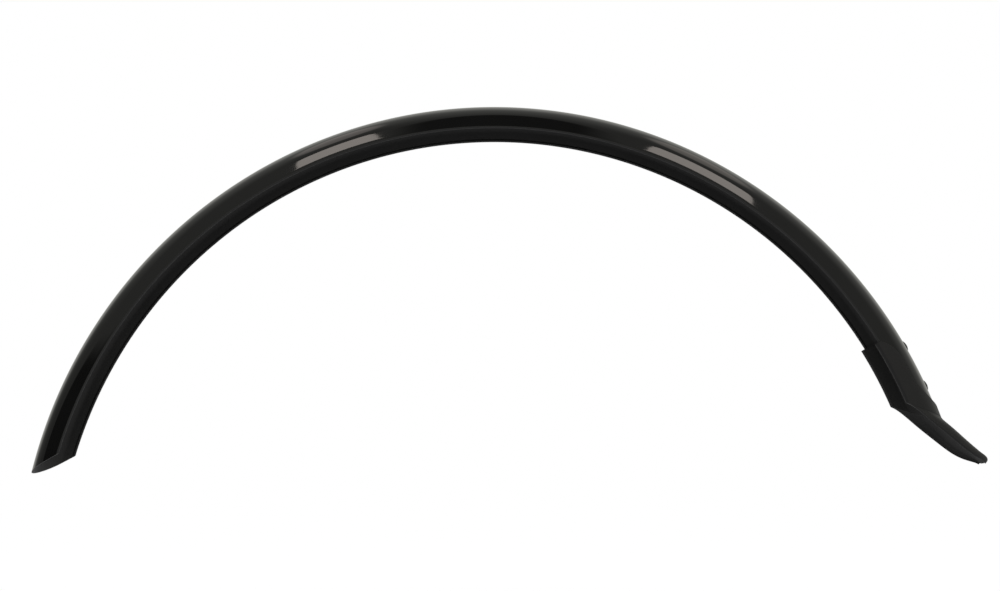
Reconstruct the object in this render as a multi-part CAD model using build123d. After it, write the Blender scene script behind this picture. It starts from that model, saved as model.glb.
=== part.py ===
"""Front bicycle mudguard: a moulded channel blade bent round the wheel, with a riveted mud flap.

The blade is drawn about the wheel's centre: X runs towards the flap, Y along the axle and Z up.
The finished part is then moved so that its origin lies in the crown's wall, at the fork bolt hole.
Lengths are in millimetres and angles in degrees, counted up from +X about the wheel's centre.
"""
from build123d import *
from math import acos, asin, atan2, cos, degrees, radians, sin, sqrt
import os

# Blade
CROWN_RADIUS = 366.0
BLADE_HALF_WIDTH = 26.0
BLADE_DEPTH = 22.0
BLADE_WALL = 1.5
BLADE_SIDE = 8.0
BLADE_FLARE = 8.0
BLADE_SHOULDER = 12.0
BEAD_RADIUS = 1.2
BLADE_END_ANGLE = 19.7
TIP_ANGLE = 168.1
END_SLANT = 41.0
END_CORNER = 2.5

# Holes for the bicycle's own bolts
FORK_HOLE_ANGLE = 120.0
FORK_HOLE_DIAMETER = 6.5
STAY_HOLE_ANGLE = 46.0
STAY_HOLE_DIAMETER = 5.5

# Rivets and their backing washers
RIVET_SHANK = 4.0
RIVET_HOLE_GAP = 0.1
RIVET_HEAD_DIAMETER = 10.0
RIVET_HEAD_HEIGHT = 2.2
RIVET_HEAD_RIM = 0.5
RIVET_TAIL_DIAMETER = 6.4
RIVET_TAIL_HEIGHT = 1.2
RIVET_PITCH = 34.2
RIVET_END_DISTANCE = 21.6
WASHER_DIAMETER = 9.0
WASHER_THICKNESS = 1.0
WASHER_GAP = 0.05

# Flap sleeve, which the blade's end slides into
FLAP_CLEARANCE = 0.15
FLAP_SKIN = 1.3
FLAP_LINER = 2.0
FLAP_HEM = 2.7
FLAP_TOP_MARGIN = 13.2
HEM_BULGE = 1.6
WING_SHELF_DROP = 11.8
STOP_GAP = 0.3

# Flap tail, which kicks outwards below the blade
COLLAR_CROWN_ANGLE = 18.7
COLLAR_EDGE_ANGLE = 22.1
TAIL_KICK = 30.3
TAIL_LENGTH = 46.6
TAIL_THICKNESS = 2.6

AXLE = Axis((0, 0, 0), (0, -1, 0))


def outward(angle):
    """Unit vector from the wheel's centre, in the plane of the wheel."""
    return Vector(cos(radians(angle)), 0, sin(radians(angle)))


def along_crown(distance):
    """Angle about the wheel's centre of a length measured on the crown."""
    return degrees(distance / CROWN_RADIUS)


def section_plane(crown, out):
    """Plane across the channel: its x runs along the axle, its y out of the crown."""
    return Plane(origin=crown, x_dir=(0, 1, 0), z_dir=Vector(0, 1, 0).cross(out))


def station(angle):
    """Section plane square to the blade at an angle."""
    return section_plane(outward(angle) * CROWN_RADIUS, outward(angle))


class Channel:
    """Half of a channel's outer section: a crown arc, a shoulder arc and a flared side."""

    def __init__(self, half_width, depth, side, flare, shoulder):
        self.depth = depth
        self.shoulder = shoulder
        self.end = radians(90 - flare)
        self.out = Vector(sin(self.end), cos(self.end))
        self.down = Vector(cos(self.end), -sin(self.end))
        across = half_width - side * cos(self.end) - shoulder * sin(self.end)
        drop = depth - side * sin(self.end) - shoulder * (1 - cos(self.end))
        self.turn = 2 * atan2(drop, across)
        self.crown = across / sin(self.turn) + shoulder
        lift = (self.crown - shoulder) * cos(self.turn)
        self.centre = Vector(across, lift - self.crown)

    def on_shoulder(self, angle, offset):
        """Point of the shoulder arc, moved out of the surface by an offset."""
        return self.centre + Vector(sin(angle), cos(angle)) * (self.shoulder + offset)

    def on_side(self, offset, depth):
        """Point of the side's line at a depth below the crown."""
        top = self.on_shoulder(self.end, offset)
        reach = (top.Y + depth) / sin(self.end)
        return top + self.down * reach

    def on_crown(self, angle, offset):
        """Point of the crown arc, moved out of the surface by an offset."""
        radius = self.crown + offset
        return Vector(radius * sin(angle), radius * cos(angle) - self.crown)

    def path(self, offset, foot, ridged):
        """Edges from one foot over the crown to the other; a ridged crown is drawn in two halves."""
        ridge = self.on_crown(0, offset)
        brow = self.on_crown(self.turn / 2, offset)
        start = self.on_crown(self.turn, offset)
        middle = self.on_shoulder((self.turn + self.end) / 2, offset)
        top = self.on_shoulder(self.end, offset)
        halves = [ThreePointArc(mirrored(start), mirrored(brow), ridge), ThreePointArc(ridge, brow, start)]
        crown = halves if ridged else [ThreePointArc(mirrored(start), ridge, start)]
        return [
            Line(mirrored(foot), mirrored(top)),
            ThreePointArc(mirrored(top), mirrored(middle), mirrored(start)),
            *crown,
            ThreePointArc(start, middle, top),
            Line(top, foot),
        ]


def mirrored(point):
    """The same point on the other side of the wheel's plane."""
    return Vector(-point.X, point.Y)


def closed_section(channel, outer, inner, outer_foot, cap, inner_foot, ridged=True):
    """Face between two offsets of a channel, with a rounded cap at each foot."""
    edges = channel.path(outer, outer_foot, ridged) + channel.path(inner, inner_foot, ridged)
    edges.append(ThreePointArc(outer_foot, cap, inner_foot))
    edges.append(ThreePointArc(mirrored(outer_foot), mirrored(cap), mirrored(inner_foot)))
    return Face(Wire(edges))


def plain_section(channel, outer, inner, depth, bulge, ridged=True):
    """Channel section of plain thickness, with rounded feet that end at a depth."""
    outer_foot = channel.on_side(outer, depth - bulge)
    inner_foot = outer_foot - channel.out * (outer - inner)
    cap = (outer_foot + inner_foot) * 0.5 + channel.down * bulge
    return closed_section(channel, outer, inner, outer_foot, cap, inner_foot, ridged)


BLADE = Channel(BLADE_HALF_WIDTH, BLADE_DEPTH, BLADE_SIDE, BLADE_FLARE, BLADE_SHOULDER)


def blade_section(grow):
    """Blade section with an inward bead along each edge, grown all round by a clearance."""
    radius = BEAD_RADIUS + grow
    centre = BLADE.on_side(-BEAD_RADIUS, BLADE_DEPTH - BEAD_RADIUS)
    inside = BLADE_WALL - BEAD_RADIUS + grow
    above = sqrt(radius**2 - inside**2)
    outer_foot = centre + BLADE.out * radius
    inner_foot = centre - BLADE.out * inside - BLADE.down * above
    sweep = radians(180) + acos(inside / radius)
    cap = centre + (BLADE.out * cos(sweep / 2) + BLADE.down * sin(sweep / 2)) * radius
    return closed_section(BLADE, grow, -BLADE_WALL - grow, outer_foot, cap, inner_foot)


def swept(section, start, stop):
    """Section carried round the wheel from one angle to another."""
    return revolve(station(start) * section, axis=AXLE, revolution_arc=stop - start)


def crown_plane(angle, lift):
    """Plane tangent to the crown at an angle, lifted off it, facing outwards."""
    return Plane(origin=outward(angle) * (CROWN_RADIUS + lift), x_dir=(0, 1, 0), z_dir=outward(angle))


def crown_hole(angle, diameter):
    """Cutter for a radial hole through the crown."""
    reach = 2 * BLADE_DEPTH
    return crown_plane(angle, 0) * Cylinder(diameter / 2, reach)


def wheel_plane_prism(outline):
    """Solid of an outline in the wheel's plane, wider than the part."""
    return extrude(Plane.XZ * outline, amount=2 * BLADE_HALF_WIDTH, both=True)


RIVET_ANGLES = [
    BLADE_END_ANGLE + along_crown(RIVET_END_DISTANCE),
    BLADE_END_ANGLE + along_crown(RIVET_END_DISTANCE + RIVET_PITCH),
]
FLAP_TOP_ANGLE = RIVET_ANGLES[1] + along_crown(FLAP_TOP_MARGIN)


def end_cut(angle, slant):
    """Crown point and inward direction of the slanted cut at one end of the blade."""
    return outward(angle) * CROWN_RADIUS, outward(angle + 180 + slant)


def blade_outline(end_angle, grow):
    """Side outline between the blade's slanted ends, with rounded lower corners."""
    beyond = CROWN_RADIUS + BLADE_DEPTH
    floor = CROWN_RADIUS - BLADE_DEPTH - grow - BEAD_RADIUS / 20
    ends = [end_cut(TIP_ANGLE, END_SLANT), end_cut(end_angle, -END_SLANT)]
    front, rear = [[crown - cut * (2 * BLADE_DEPTH), crown + cut * (3 * BLADE_DEPTH)] for crown, cut in ends]
    line = [(p.X, p.Z) for p in front + [Vector(0, 0, 0)] + rear[::-1]]
    side = make_face(Polyline(line + [(2 * beyond, 2 * beyond), (-2 * beyond, 2 * beyond)], close=True))
    kept = side & (Circle(beyond) - Circle(floor))
    corners = []
    for crown, cut in ends:
        middle = crown.dot(cut)
        corner = crown - cut * (middle + sqrt(middle**2 - CROWN_RADIUS**2 + floor**2))
        corners.append(kept.vertices().sort_by_distance((corner.X, corner.Z, 0))[0])
    return fillet(corners, END_CORNER)


def blade_body(end_angle, grow):
    """Blade without holes, grown by a clearance and with its rear end at an angle."""
    spare = along_crown(BLADE_DEPTH)
    body = swept(blade_section(grow), end_angle - spare, TIP_ANGLE + spare)
    return body & wheel_plane_prism(blade_outline(end_angle, grow))


def blade():
    """Blade with its four crown holes."""
    body = blade_body(BLADE_END_ANGLE, 0)
    body -= crown_hole(FORK_HOLE_ANGLE, FORK_HOLE_DIAMETER)
    body -= crown_hole(STAY_HOLE_ANGLE, STAY_HOLE_DIAMETER)
    for angle in RIVET_ANGLES:
        body -= crown_hole(angle, RIVET_SHANK + 2 * RIVET_HOLE_GAP)
    return body


SKIN_OFFSET = FLAP_CLEARANCE + FLAP_SKIN
LINER_OFFSET = -BLADE_WALL - FLAP_CLEARANCE - FLAP_LINER
STOP_ANGLE = BLADE_END_ANGLE - along_crown(STOP_GAP)


def sleeve_section():
    """Thick channel that wraps both faces of the blade and closes below its edges."""
    return plain_section(BLADE, SKIN_OFFSET, LINER_OFFSET, BLADE_DEPTH + FLAP_HEM, HEM_BULGE)


def wing_outline():
    """Side outline above the wings' upper edge, where the sleeve's skin leaves the crown bare."""
    grip = FLAP_TOP_ANGLE - STOP_ANGLE
    rise = [
        # share of the sleeve's length, drop below the crown
        (1.02, BLADE_DEPTH),
        (0.87, WING_SHELF_DROP * 1.2),
        (0.71, WING_SHELF_DROP),
        (0.45, WING_SHELF_DROP),
        (0.31, WING_SHELF_DROP * 0.78),
        (0.14, WING_SHELF_DROP * 0.3),
        (0.02, -2 * SKIN_OFFSET),
    ]
    edge = [outward(STOP_ANGLE + share * grip) * (CROWN_RADIUS - drop) for share, drop in rise]
    edge.append(outward(STOP_ANGLE) * (CROWN_RADIUS + BLADE_DEPTH))
    edge.append(outward(FLAP_TOP_ANGLE + grip) * (CROWN_RADIUS + BLADE_DEPTH))
    points = [(p.X, p.Z) for p in edge]
    curve = Spline(points[:len(rise)])
    return make_face(curve + Polyline(points[len(rise) - 1:] + points[:1]))


COLLAR_CROWN = outward(COLLAR_CROWN_ANGLE) * (CROWN_RADIUS + SKIN_OFFSET)
COLLAR_EDGE = outward(COLLAR_EDGE_ANGLE) * (CROWN_RADIUS - BLADE_DEPTH - FLAP_HEM)


def collar_plane():
    """Slanted plane where the collar ends and the tail kicks out, facing the tail."""
    return section_plane(COLLAR_CROWN, (COLLAR_CROWN - COLLAR_EDGE).normalized())


def collared_sleeve():
    """Thick sleeve without its slot, cut square to the tail at the collar's slanted end."""
    spare = along_crown(BLADE_DEPTH)
    body = swept(sleeve_section(), COLLAR_CROWN_ANGLE - spare, FLAP_TOP_ANGLE)
    return split(body, bisect_by=collar_plane(), keep=Keep.BOTTOM)


def sleeve():
    """Sleeve with the blade's slot, the bare crown between its wings and the rivets' holes."""
    spare = along_crown(BLADE_DEPTH)
    body = collared_sleeve() - blade_body(STOP_ANGLE, FLAP_CLEARANCE)
    skin = plain_section(BLADE, 2 * SKIN_OFFSET, 0, BLADE_DEPTH, BEAD_RADIUS / 2)
    bare = swept(skin, STOP_ANGLE - spare, FLAP_TOP_ANGLE + spare)
    body -= bare & wheel_plane_prism(wing_outline())
    for angle in RIVET_ANGLES:
        body -= crown_hole(angle, RIVET_SHANK + 2 * RIVET_HOLE_GAP)
    return body


def seat_lift():
    """Height of the washers' flat face, whose rim meets the hollow of the liner."""
    radius = WASHER_DIAMETER / 2
    hollow = BLADE.crown + LINER_OFFSET
    return sqrt(hollow**2 - radius**2) - hollow + LINER_OFFSET - WASHER_GAP


def tail():
    """Tail that leaves the collar, then flattens, narrows and droops to its tip."""
    run = outward(COLLAR_CROWN_ANGLE - 90 + TAIL_KICK)
    out = outward(COLLAR_CROWN_ANGLE + TAIL_KICK)
    edge_start = (COLLAR_EDGE - COLLAR_CROWN).dot(run)
    edge_drop = (COLLAR_CROWN - COLLAR_EDGE).dot(out)
    half_width = BLADE_HALF_WIDTH + SKIN_OFFSET
    shapes = [
        # shares of the crown's run, its droop, the edge's run, its drop, width, side and shoulder, then the flare
        (0.075, 0.039, 0.232, 0.869, 0.998, 0.75, 0.75, 9.0),
        (0.236, 0.054, 0.477, 0.838, 0.998, 0.40, 0.54, 15.0),
        (0.515, 0.062, 0.696, 0.792, 0.940, 0.325, 0.458, 20.0),
        (0.751, 0.078, 0.850, 0.675, 0.816, 0.275, 0.417, 20.0),
        (0.901, 0.130, 0.941, 0.504, 0.634, 0.225, 0.35, 20.0),
        (1.0, 0.240, 1.0, 0.450, 0.386, 0.163, 0.267, 20.0),
    ]
    sections = [collared_sleeve().faces().filter_by(collar_plane()).sort_by_distance(COLLAR_CROWN)[0]]
    for crown_run, droop, edge_run, drop, width, side, shoulder, flare in shapes:
        crown = COLLAR_CROWN + run * (crown_run * TAIL_LENGTH) - out * (droop * edge_drop)
        reach = edge_start + edge_run * (TAIL_LENGTH - edge_start)
        edge = COLLAR_CROWN + run * reach - out * (drop * edge_drop)
        slope = crown - edge
        channel = Channel(width * half_width, slope.length, side * BLADE_SIDE, flare, shoulder * BLADE_SHOULDER)
        face = plain_section(channel, 0, -TAIL_THICKNESS, channel.depth, TAIL_THICKNESS / 3, ridged=False)
        sections.append(section_plane(crown, slope.normalized()) * face)
    return loft(sections)


def flap():
    """Mud flap, moulded in one piece."""
    return sleeve() + tail()


def dome(radius, rim, height):
    """Arc of a round cap, from its rim to its top on the axis."""
    rise = height - rim
    ball = (radius**2 + rise**2) / (2 * rise)
    half = asin(radius / ball) / 2
    return ThreePointArc((radius, rim), (ball * sin(half), height - ball * (1 - cos(half))), (0, height))


def rivet(angle):
    """Dome-headed rivet, set over its backing washer."""
    head = RIVET_HEAD_DIAMETER / 2
    shank = RIVET_SHANK / 2
    set_radius = RIVET_TAIL_DIAMETER / 2
    set_top = seat_lift() - WASHER_THICKNESS
    set_rim = set_top - RIVET_TAIL_HEIGHT / 3
    set_end = set_top - RIVET_TAIL_HEIGHT
    outline = [
        Line((0, RIVET_HEAD_HEIGHT), (0, set_end)),
        dome(set_radius, set_rim, set_end),
        Line((set_radius, set_rim), (set_radius, set_top)),
        Line((set_radius, set_top), (shank, set_top)),
        Line((shank, set_top), (shank, 0)),
        Line((shank, 0), (head, 0)),
        Line((head, 0), (head, RIVET_HEAD_RIM)),
        dome(head, RIVET_HEAD_RIM, RIVET_HEAD_HEIGHT),
    ]
    spin = Axis(outward(angle) * CROWN_RADIUS, outward(angle))
    return revolve(station(angle) * Face(Wire(outline)), axis=spin, revolution_arc=360)


def washer(angle):
    """Backing washer inside the flap, under the liner."""
    hole = RIVET_SHANK / 2 + RIVET_HOLE_GAP
    top = (Align.CENTER, Align.CENTER, Align.MAX)
    ring = Cylinder(WASHER_DIAMETER / 2, WASHER_THICKNESS, align=top) - Cylinder(hole, WASHER_THICKNESS, align=top)
    return crown_plane(angle, seat_lift()) * ring


def main():
    """Writes every node, with the part's origin half way through the fork bolt hole."""
    os.makedirs("parts", exist_ok=True)
    place = Pos(*(outward(FORK_HOLE_ANGLE) * (BLADE_WALL / 2 - CROWN_RADIUS)))
    nodes = {
        "guard_blade": blade(),
        "mud_flap": flap(),
        "flap_rivets": Compound(children=[rivet(angle) for angle in RIVET_ANGLES]),
        "rivet_washers": Compound(children=[washer(angle) for angle in RIVET_ANGLES]),
    }
    for name, shape in nodes.items():
        export_step(place * shape, f"parts/{name}.step")


main()
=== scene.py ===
"""Look of the bicycle mudguard: fine blade mesh, materials, studio light and the photograph's camera."""
from math import acos, atan2, cos, degrees, pi, radians, sin, sqrt

import bmesh
import bpy
from mathutils import Matrix, Vector

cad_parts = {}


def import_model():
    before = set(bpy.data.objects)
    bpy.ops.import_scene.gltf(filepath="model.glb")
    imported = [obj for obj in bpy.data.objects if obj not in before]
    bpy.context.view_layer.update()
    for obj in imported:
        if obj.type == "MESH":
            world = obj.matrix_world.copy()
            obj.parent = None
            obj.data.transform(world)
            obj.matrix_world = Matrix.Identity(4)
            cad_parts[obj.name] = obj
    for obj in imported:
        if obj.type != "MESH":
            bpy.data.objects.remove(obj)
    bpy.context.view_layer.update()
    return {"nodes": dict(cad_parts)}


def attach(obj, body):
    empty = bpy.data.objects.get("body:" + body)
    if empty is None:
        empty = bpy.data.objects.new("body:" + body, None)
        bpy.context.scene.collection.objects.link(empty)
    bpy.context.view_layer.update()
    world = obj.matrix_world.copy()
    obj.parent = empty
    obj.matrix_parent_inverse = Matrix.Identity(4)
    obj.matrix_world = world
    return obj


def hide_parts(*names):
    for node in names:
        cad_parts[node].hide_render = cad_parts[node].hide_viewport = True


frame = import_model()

MM = 0.001

# Blade as in the part's source: millimetres about the wheel's centre, degrees from +X
CROWN_RADIUS = 366.0
BLADE_HALF_WIDTH = 26.0
BLADE_DEPTH = 22.0
BLADE_WALL = 1.5
BLADE_SIDE = 8.0
BLADE_FLARE = 8.0
BLADE_SHOULDER = 12.0
BEAD_RADIUS = 1.2
BLADE_END_ANGLE = 19.7
TIP_ANGLE = 168.1
END_SLANT = 41.0
END_CORNER = 2.5
END_FLOOR_GAP = 0.06

# Holes through the crown: the bolts' by angle and radius, the rivets' by distance from the rear end
FORK_HOLE = (120.0, 3.25)
STAY_HOLE = (46.0, 2.75)
RIVET_HOLE_RADIUS = 2.1
RIVET_DISTANCES = (21.6, 55.8)

# Mesh of the blade: degrees between rows, degrees over which rows lean to an end, columns of each face
ROW_STEP = 0.5
END_BLEND = 14.0
CROWN_COLUMNS = 10
SHOULDER_COLUMNS = 12
SIDE_COLUMNS = 3
BEAD_COLUMNS = 14
WALL_COLUMNS = CROWN_COLUMNS + SHOULDER_COLUMNS + SIDE_COLUMNS

# Mesh round a hole: half rows and half columns of its patch, and the rings inside it
BOLT_PATCH = (3, 5)
RIVET_PATCH = (2, 3)
HOLE_RINGS = 4
SHARP_ANGLE = 40.0

# Noise of the materials: the part of it that is stretched, and how fine it is
NOISE_SPAN = (0.3, 0.7)
NOISE_DETAIL = 3.0

# Grain of the flap, with its height in metres
GRAIN_SCALE = 2200.0
GRAIN_DETAIL = 2.0
GRAIN_HEIGHT = 0.00012
GRAIN_STRENGTH = 0.5

# Photograph's camera, from the wheel's centre in metres
CAMERA_PLACE = Vector((0.010689, -1.27694, 0.044337))
CAMERA_PITCH = 0.13273
CAMERA_YAW = 0.00437
CAMERA_LENS = 58.835
SENSOR_WIDTH = 36.0

# Floor and surroundings
FLOOR_HEIGHT = -0.36
FLOOR_HALF = 40.0
FLOOR_COLOUR = 0.86
FLOOR_GLOW = 0.27
WORLD_LIGHT = 0.85

# Softboxes beside the camera: angle about the axle, radius, width and length in metres, power
SOFTBOX_DEPTH = -1.25
SOFTBOX_COLOUR = (1.0, 0.91, 0.84)
SOFTBOXES = (
    (112.1, 1.10, 0.213, 0.26, 0.77),
    (61.5, 1.10, 0.286, 0.26, 1.00),
)

# Grey studio round the object, which only the gloss shows. It is darker to the left and behind the camera:
# where the shade is deepest and where it ends, as shares of the radius, and the light that it leaves
ROOM_RADIUS = 6.0
ROOM_FINENESS = 5
ROOM_COLOUR = (0.62, 0.62, 0.58, 1.0)
ROOM_LEFT = (-0.92, -0.66, 0.45)
ROOM_FRONT = (-0.65, -0.20, 0.60)
ROOM_FLOOR_GREY = 0.38

# Soft cards in that room: angle, radius, depth, facing, half width, half length in metres, colour
SOFT_CARDS = (
    (89.6, 1.60, -1.55, "front", 0.376, 1.2, (0.08, 0.08, 0.075, 1.0)),
    (165.5, 1.60, -1.55, "front", 0.344, 1.2, (0.05, 0.05, 0.046, 1.0)),
    (111.0, 2.50, -0.20, "above", 0.32, 1.3, (1.65, 1.53, 1.44, 1.0)),
    (62.6, 2.50, -0.20, "above", 0.386, 1.3, (1.60, 1.50, 1.38, 1.0)),
)
SOFT_EDGE = 0.35
CARD_CORNERS = [(-1, -1, 0), (1, -1, 0), (1, 1, 0), (-1, 1, 0)]
CARD_FACINGS = {
    "front": Matrix.Rotation(pi / 2, 3, "X"),
    "above": Matrix.Identity(3),
}


def polar(angle, radius):
    """Vector in the wheel's plane at an angle about the axle."""
    return Vector((radius * cos(radians(angle)), 0.0, radius * sin(radians(angle))))


# The part's origin is on the fork bolt's axis, half way through the crown's wall
FORK_RADIUS = CROWN_RADIUS - BLADE_WALL / 2
WHEEL_CENTRE = polar(FORK_HOLE[0], 1.0) * (-FORK_RADIUS * MM)


def spaced(first, last, count):
    """Evenly spaced numbers from one to another, both included."""
    return [first + (last - first) * i / count for i in range(count + 1)]


def placed(name, data):
    """Object with its data, linked to the scene."""
    thing = bpy.data.objects.new(name, data)
    bpy.context.scene.collection.objects.link(thing)
    return thing


class BladeSection:
    """Half of the blade's section as points: lateral distance, height over the crown."""

    def __init__(self):
        self.end = radians(90 - BLADE_FLARE)
        self.out = Vector((sin(self.end), cos(self.end)))
        self.down = Vector((cos(self.end), -sin(self.end)))
        across = BLADE_HALF_WIDTH - BLADE_SIDE * cos(self.end) - BLADE_SHOULDER * sin(self.end)
        drop = BLADE_DEPTH - BLADE_SIDE * sin(self.end) - BLADE_SHOULDER * (1 - cos(self.end))
        self.turn = 2 * atan2(drop, across)
        self.crown = across / sin(self.turn) + BLADE_SHOULDER
        self.centre = Vector((across, (self.crown - BLADE_SHOULDER) * cos(self.turn) - self.crown))

    def crown_height(self, lateral, offset):
        """Height of the crown's arc at a lateral distance."""
        return sqrt((self.crown + offset) ** 2 - lateral**2) - self.crown

    def path(self, offset, foot):
        """Points from the ridge over the shoulder to a foot."""
        crown = self.crown + offset
        points = []
        for a in spaced(0, self.turn, CROWN_COLUMNS):
            points.append(Vector((crown * sin(a), crown * cos(a) - self.crown)))
        for a in spaced(self.turn, self.end, SHOULDER_COLUMNS)[1:]:
            points.append(self.centre + Vector((sin(a), cos(a))) * (BLADE_SHOULDER + offset))
        top = points[-1]
        return points + [top.lerp(foot, share) for share in spaced(0, 1, SIDE_COLUMNS)[1:]]

    def half_loop(self):
        """Points from the outer ridge round the edge's bead to the inner ridge."""
        top = self.centre + self.out * (BLADE_SHOULDER - BEAD_RADIUS)
        bead = top + self.down * ((top.y + BLADE_DEPTH - BEAD_RADIUS) / sin(self.end))
        sweep = pi + acos((BLADE_WALL - BEAD_RADIUS) / BEAD_RADIUS)
        rim = []
        for a in spaced(0, sweep, BEAD_COLUMNS):
            rim.append(bead + (self.out * cos(a) + self.down * sin(a)) * BEAD_RADIUS)
        return self.path(0, rim[0]) + rim[1:-1] + self.path(-BLADE_WALL, rim[-1])[::-1]


class BladeEnd:
    """Slanted end of the blade, with a rounded lower corner; side is 1 at the tip and -1 at the flap."""

    def __init__(self, angle, slant, side):
        self.side = side
        self.start = polar(angle, CROWN_RADIUS).xz
        self.cut = polar(angle + 180 + slant, 1.0).xz
        kept = Vector((self.cut.y, -self.cut.x)) * -side
        floor_radius = CROWN_RADIUS - BLADE_DEPTH - END_FLOOR_GAP
        base = self.start + kept * END_CORNER
        self.centre = base + self.cut * self.reach(base, floor_radius + END_CORNER)
        self.tangent = (self.centre - kept * END_CORNER).length

    def reach(self, base, radius):
        """Distance along the cut from a point to a circle about the axle."""
        middle = base.dot(self.cut)
        return -middle - sqrt(middle**2 - base.length_squared + radius**2)

    def angle(self, radius):
        """Angle at which a circle about the axle leaves the blade."""
        if radius >= self.tangent:
            point = self.start + self.cut * self.reach(self.start, radius)
            return degrees(atan2(point.y, point.x))
        far = self.centre.length
        share = (radius**2 + far**2 - END_CORNER**2) / (2 * radius * far)
        return degrees(atan2(self.centre.y, self.centre.x) + self.side * acos(min(1.0, share)))


class BladeMesh:
    """Blade swept round the wheel in rows of section points, in millimetres about the wheel's centre."""

    def __init__(self):
        self.section = BladeSection()
        half = self.section.half_loop()
        self.ridge = len(half) - 1
        self.loop = half + [Vector((-p.x, p.y)) for p in half[-2:0:-1]]
        self.count = len(self.loop)
        self.rows = round((TIP_ANGLE - BLADE_END_ANGLE) / ROW_STEP)
        self.verts = []
        self.faces = []
        self.open_cells = set()
        self.gloss = set()
        self.sweep()
        self.bore(*FORK_HOLE, *BOLT_PATCH)
        self.bore(*STAY_HOLE, *BOLT_PATCH)
        for distance in RIVET_DISTANCES:
            angle = BLADE_END_ANGLE + degrees(distance / CROWN_RADIUS)
            self.bore(angle, RIVET_HOLE_RADIUS, *RIVET_PATCH)
        self.skin()
        self.caps()

    def sweep(self):
        """Vertices of every row; the rows lean towards the slanted ends."""
        tip = BladeEnd(TIP_ANGLE, END_SLANT, 1)
        rear = BladeEnd(BLADE_END_ANGLE, -END_SLANT, -1)
        radii = [CROWN_RADIUS + p.y for p in self.loop]
        tip_shift = [tip.angle(r) - TIP_ANGLE for r in radii]
        rear_shift = [rear.angle(r) - BLADE_END_ANGLE for r in radii]
        for station in spaced(BLADE_END_ANGLE, TIP_ANGLE, self.rows):
            near_rear = max(0.0, 1 - (station - BLADE_END_ANGLE) / END_BLEND)
            near_tip = max(0.0, 1 - (TIP_ANGLE - station) / END_BLEND)
            for k, point in enumerate(self.loop):
                angle = station + near_rear * rear_shift[k] + near_tip * tip_shift[k]
                self.verts.append(polar(angle, radii[k]) + Vector((0.0, point.x, 0.0)))

    def index(self, row, column):
        """Number of the vertex in a row and a column."""
        return row * self.count + column % self.count

    def border(self, rows, columns):
        """Ring of vertices round a patch of the rows and columns."""
        ring = [self.index(row, columns[0]) for row in rows[:-1]]
        ring += [self.index(rows[-1], column) for column in columns[:-1]]
        ring += [self.index(row, columns[-1]) for row in rows[:0:-1]]
        ring += [self.index(rows[0], column) for column in columns[:0:-1]]
        return ring

    def bore(self, angle, radius, half_rows, half_columns):
        """Round hole through the crown, with rings that lead from the rows to its rim."""
        out = polar(angle, 1.0)
        along = polar(angle + 90, 1.0)
        middle = round((angle - BLADE_END_ANGLE) / ROW_STEP)
        rows = range(middle - half_rows, middle + half_rows + 1)
        turns = None
        rims = []
        for ridge, step, offset in ((0, 1, 0.0), (self.ridge, -1, -BLADE_WALL)):
            columns = [ridge + step * c for c in range(-half_columns, half_columns + 1)]
            low = min(columns)
            for row in rows[:-1]:
                self.open_cells.update((row, (low + c) % self.count) for c in range(2 * half_columns))
            ring = self.border(rows, columns)
            flat = [Vector((self.verts[v].dot(along), self.verts[v].y)) for v in ring]
            turns = turns or [p.normalized() * radius for p in flat]
            for share in spaced(0, 1, HOLE_RINGS)[1:]:
                inner = range(len(self.verts), len(self.verts) + len(ring))
                for p, rim in zip(flat, turns):
                    s, lateral = p.lerp(rim, share)
                    height = CROWN_RADIUS + self.section.crown_height(lateral, offset)
                    rise = sqrt(height**2 - s**2)
                    self.verts.append(out * rise + along * s + Vector((0.0, lateral, 0.0)))
                if step > 0:
                    self.gloss.update(range(len(self.faces), len(self.faces) + len(ring)))
                self.strip(ring, inner, flip=step > 0)
                ring = inner
            rims.append(ring)
        self.strip(*rims, flip=True)

    def strip(self, first, second, flip):
        """Faces between two closed rings of vertices."""
        for j in range(len(first)):
            k = (j + 1) % len(first)
            face = (first[j], first[k], second[k], second[j])
            self.faces.append(face[::-1] if flip else face)

    def skin(self):
        """Faces between the rows, apart from the holes."""
        for row in range(self.rows):
            for column in range(self.count):
                if (row, column) in self.open_cells:
                    continue
                if min(column, self.count - 1 - column) < WALL_COLUMNS:
                    self.gloss.add(len(self.faces))
                this_row = (self.index(row, column), self.index(row, column + 1))
                next_row = (self.index(row + 1, column + 1), self.index(row + 1, column))
                self.faces.append(this_row + next_row)

    def caps(self):
        """Faces across the wall at the two ends."""
        for row, flip in ((0, True), (self.rows, False)):
            for side in (1, -1):
                flat = [[k, k + 1, self.ridge - k - 1, self.ridge - k] for k in range(WALL_COLUMNS)]
                flat.append(list(range(WALL_COLUMNS, WALL_COLUMNS + BEAD_COLUMNS + 1)))
                for face in flat:
                    corners = [self.index(row, side * k) for k in face]
                    self.faces.append(corners[::-1] if flip == (side > 0) else corners)

    def build(self, name, looks):
        """Smooth shaded object in the part's frame; gloss outside, satin on the edges and inside."""
        mesh = bpy.data.meshes.new(name)
        mesh.from_pydata([v * MM + WHEEL_CENTRE for v in self.verts], [], self.faces)
        mesh.shade_smooth()
        mesh.set_sharp_from_angle(angle=radians(SHARP_ANGLE))
        for look in looks:
            mesh.materials.append(look)
        for number, polygon in enumerate(mesh.polygons):
            polygon.material_index = 0 if number in self.gloss else 1
        return placed(name, mesh)


def grey(value):
    """Opaque grey colour."""
    return (value, value, value, 1.0)


def new_material(name):
    """Material with an empty node tree and its output."""
    material = bpy.data.materials.new(name)
    material.use_nodes = True
    tree = material.node_tree
    tree.nodes.clear()
    return material, tree, tree.nodes.new("ShaderNodeOutputMaterial")


def own_place(tree):
    """Coordinates of the object itself."""
    return tree.nodes.new("ShaderNodeTexCoord").outputs["Object"]


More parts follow.
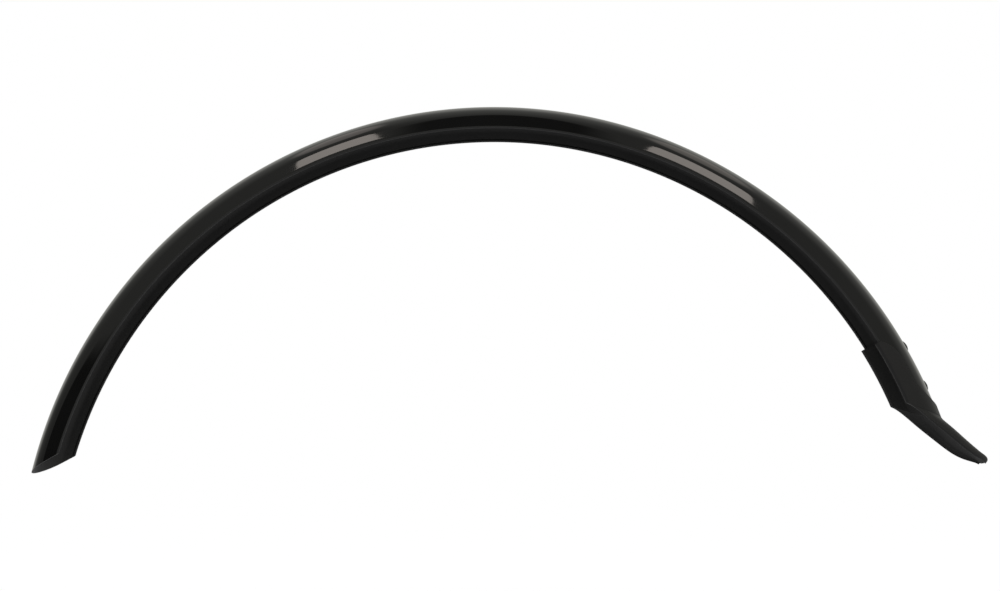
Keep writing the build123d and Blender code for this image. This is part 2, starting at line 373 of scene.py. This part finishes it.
def noise(tree, scale, detail):
    """Noise over the object's own coordinates."""
    texture = tree.nodes.new("ShaderNodeTexNoise")
    texture.inputs["Scale"].default_value = scale
    texture.inputs["Detail"].default_value = detail
    tree.links.new(own_place(tree), texture.inputs["Vector"])
    return texture.outputs["Fac"]


def stretched(tree, source, span, results, blend="LINEAR"):
    """Number carried from one range to another."""
    node = tree.nodes.new("ShaderNodeMapRange")
    node.interpolation_type = blend
    for socket, value in zip(("From Min", "From Max", "To Min", "To Max"), (*span, *results)):
        node.inputs[socket].default_value = value
    tree.links.new(source, node.inputs["Value"])
    return node.outputs["Result"]


def tinted(tree, source, greys):
    """Noise turned into a mix of two greys."""
    node = tree.nodes.new("ShaderNodeValToRGB")
    for element, place, value in zip(node.color_ramp.elements, NOISE_SPAN, greys):
        element.position = place
        element.color = grey(value)
    tree.links.new(source, node.inputs["Fac"])
    return node.outputs["Color"]


def surface(name, greys, rough, scale, metallic=0.0, grained=False):
    """Material whose grey and roughness vary a little over the surface."""
    material, tree, output = new_material(name)
    shader = tree.nodes.new("ShaderNodeBsdfPrincipled")
    tree.links.new(shader.outputs["BSDF"], output.inputs["Surface"])
    field = noise(tree, scale, NOISE_DETAIL)
    tree.links.new(tinted(tree, field, greys), shader.inputs["Base Color"])
    tree.links.new(stretched(tree, field, NOISE_SPAN, rough), shader.inputs["Roughness"])
    shader.inputs["Metallic"].default_value = metallic
    if grained:
        bump = tree.nodes.new("ShaderNodeBump")
        bump.inputs["Strength"].default_value = GRAIN_STRENGTH
        bump.inputs["Distance"].default_value = GRAIN_HEIGHT
        tree.links.new(noise(tree, GRAIN_SCALE, GRAIN_DETAIL), bump.inputs["Height"])
        tree.links.new(bump.outputs["Normal"], shader.inputs["Normal"])
    return material


def emission(tree, colour):
    """Shader that shines evenly."""
    glow = tree.nodes.new("ShaderNodeEmission")
    glow.inputs["Color"].default_value = colour
    return glow


def staged(name, points, material):
    """Flat stage sheet through a ring of points."""
    mesh = bpy.data.meshes.new(name)
    mesh.from_pydata(points, [], [range(len(points))])
    mesh.materials.append(material)
    sheet = placed(name, mesh)
    return sheet


def level_sheet(name, height, half, material):
    """Level square stage sheet."""
    corners = ((-half, -half), (half, -half), (half, half), (-half, half))
    return staged(name, [(x, y, height) for x, y in corners], material)


def only_in_gloss(sheet):
    """Leaves a stage piece to reflections alone."""
    sheet.visible_camera = False
    sheet.visible_diffuse = False
    sheet.visible_transmission = False
    sheet.visible_shadow = False


def seen(tree):
    """One where a ray comes from the camera, a gloss or a clear surface."""
    path = tree.nodes.new("ShaderNodeLightPath")
    total = path.outputs["Is Camera Ray"]
    for ray in ("Is Glossy Ray", "Is Transmission Ray"):
        widest = tree.nodes.new("ShaderNodeMath")
        widest.operation = "MAXIMUM"
        tree.links.new(total, widest.inputs[0])
        tree.links.new(path.outputs[ray], widest.inputs[1])
        total = widest.outputs["Value"]
    return total


def floor():
    """Plain pale floor, lifted to white where it is seen, which keeps the object's shadow."""
    material, tree, output = new_material("floor_paper")
    matt = tree.nodes.new("ShaderNodeBsdfDiffuse")
    matt.inputs["Color"].default_value = grey(FLOOR_COLOUR)
    glow = emission(tree, grey(1.0))
    strength = tree.nodes.new("ShaderNodeMath")
    strength.operation = "MULTIPLY"
    strength.inputs[1].default_value = FLOOR_GLOW
    both = tree.nodes.new("ShaderNodeAddShader")
    tree.links.new(seen(tree), strength.inputs[0])
    tree.links.new(strength.outputs["Value"], glow.inputs["Strength"])
    tree.links.new(matt.outputs["BSDF"], both.inputs[0])
    tree.links.new(glow.outputs["Emission"], both.inputs[1])
    tree.links.new(both.outputs["Shader"], output.inputs["Surface"])
    level_sheet("floor", FLOOR_HEIGHT, FLOOR_HALF, material)


def world():
    """White surroundings: white where they are seen, and a plain level of light."""
    studio = bpy.data.worlds.new("studio")
    bpy.context.scene.world = studio
    studio.use_nodes = True
    tree = studio.node_tree
    tree.nodes.clear()
    output = tree.nodes.new("ShaderNodeOutputWorld")
    mix = tree.nodes.new("ShaderNodeMixShader")
    tree.links.new(seen(tree), mix.inputs["Fac"])
    for slot, strength in ((1, WORLD_LIGHT), (2, 1.0)):
        background = tree.nodes.new("ShaderNodeBackground")
        background.inputs["Color"].default_value = grey(1.0)
        background.inputs["Strength"].default_value = strength
        tree.links.new(background.outputs["Background"], mix.inputs[slot])
    tree.links.new(mix.outputs["Shader"], output.inputs["Surface"])


def softboxes():
    """Two softboxes above the camera, one to each side."""
    for number, (angle, radius, width, length, power) in enumerate(SOFTBOXES):
        data = bpy.data.lights.new(f"softbox_{number}", "AREA")
        data.shape = "RECTANGLE"
        data.size = width
        data.size_y = length
        data.energy = power
        data.color = SOFTBOX_COLOUR
        lamp = placed(f"softbox_{number}", data)
        lamp.location = WHEEL_CENTRE + polar(angle, radius) + Vector((0.0, SOFTBOX_DEPTH, 0.0))
        lamp.rotation_euler = (pi / 2, radians(90 - angle), 0.0)


def share_along(tree, axis, deepest, end, least):
    """Share that rises from its least to one along an axis of the object."""
    parts = tree.nodes.new("ShaderNodeSeparateXYZ")
    tree.links.new(own_place(tree), parts.inputs["Vector"])
    return stretched(tree, parts.outputs[axis], (deepest, end), (least, 1.0))


def room():
    """Grey walls, which give the gloss something to show."""
    material, tree, output = new_material("room_walls")
    glow = emission(tree, ROOM_COLOUR)
    shade = tree.nodes.new("ShaderNodeMath")
    shade.operation = "MULTIPLY"
    tree.links.new(share_along(tree, "X", *ROOM_LEFT), shade.inputs[0])
    tree.links.new(share_along(tree, "Y", *ROOM_FRONT), shade.inputs[1])
    tree.links.new(shade.outputs["Value"], glow.inputs["Strength"])
    tree.links.new(glow.outputs["Emission"], output.inputs["Surface"])
    ball = bmesh.new()
    bmesh.ops.create_icosphere(ball, subdivisions=ROOM_FINENESS, radius=1.0)
    mesh = bpy.data.meshes.new("room")
    ball.to_mesh(mesh)
    ball.free()
    mesh.materials.append(material)
    walls = placed("room", mesh)
    walls.location = WHEEL_CENTRE
    walls.scale = (ROOM_RADIUS,) * 3
    only_in_gloss(walls)


def room_floor():
    """Grey floor of that room, just over the pale one."""
    material, tree, output = new_material("room_floor")
    glow = emission(tree, grey(ROOM_FLOOR_GREY))
    tree.links.new(glow.outputs["Emission"], output.inputs["Surface"])
    only_in_gloss(level_sheet("room_floor", FLOOR_HEIGHT + MM, ROOM_RADIUS, material))


def fading(name, colour):
    """Material of a card that shines in its middle and fades towards its edges."""
    material, tree, output = new_material(name)
    ball = tree.nodes.new("ShaderNodeTexGradient")
    ball.gradient_type = "SPHERICAL"
    tree.links.new(own_place(tree), ball.inputs["Vector"])
    fade = stretched(tree, ball.outputs["Fac"], (0.0, SOFT_EDGE), (0.0, 1.0), "SMOOTHSTEP")
    clear = tree.nodes.new("ShaderNodeBsdfTransparent")
    glow = emission(tree, colour)
    mix = tree.nodes.new("ShaderNodeMixShader")
    tree.links.new(fade, mix.inputs["Fac"])
    tree.links.new(clear.outputs["BSDF"], mix.inputs[1])
    tree.links.new(glow.outputs["Emission"], mix.inputs[2])
    tree.links.new(mix.outputs["Shader"], output.inputs["Surface"])
    return material


def soft_cards():
    """Light and dark cards whose edges fade."""
    for number, (angle, radius, depth, facing, width, length, colour) in enumerate(SOFT_CARDS):
        name = f"card_{number}"
        card = staged(name, CARD_CORNERS, fading(name, colour))
        card.location = WHEEL_CENTRE + polar(angle, radius) + Vector((0.0, depth, 0.0))
        card.scale = (width, length, 1.0)
        turned = Matrix.Rotation(radians(90 - angle), 3, "Y")
        card.rotation_euler = (turned @ CARD_FACINGS[facing]).to_euler()
        only_in_gloss(card)


def camera():
    """The photograph's camera."""
    data = bpy.data.cameras.new("photo_camera")
    data.sensor_fit = "HORIZONTAL"
    data.sensor_width = SENSOR_WIDTH
    data.lens = CAMERA_LENS
    eye = placed("photo_camera", data)
    eye.location = WHEEL_CENTRE + CAMERA_PLACE
    eye.rotation_euler = (pi / 2 + CAMERA_PITCH, 0.0, CAMERA_YAW)
    bpy.context.scene.camera = eye


# Materials: two greys, two roughnesses and the noise's scale
LOOKS = {
    "guard_blade": surface("blade_gloss", (0.0022, 0.0034), (0.025, 0.045), 18.0),
    "mud_flap": surface("flap_matte", (0.0035, 0.0055), (0.5, 0.6), 60.0, grained=True),
    "flap_rivets": surface("rivet_satin", (0.0025, 0.0045), (0.3, 0.42), 150.0),
    "rivet_washers": surface("washer_zinc", (0.42, 0.55), (0.28, 0.4), 400.0, metallic=1.0),
}
for node, look in LOOKS.items():
    frame["nodes"][node].data.materials.clear()
    frame["nodes"][node].data.materials.append(look)

# Blade with a fine mesh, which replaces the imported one
satin = surface("blade_satin", (0.0065, 0.0095), (0.42, 0.55), 25.0)
blade = BladeMesh().build("blade_shell", (LOOKS["guard_blade"], satin))
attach(blade, "root")
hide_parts("guard_blade")

# Studio
floor()
world()
softboxes()
room()
room_floor()
soft_cards()
camera()
bpy.context.scene.view_settings.view_transform = "Standard"
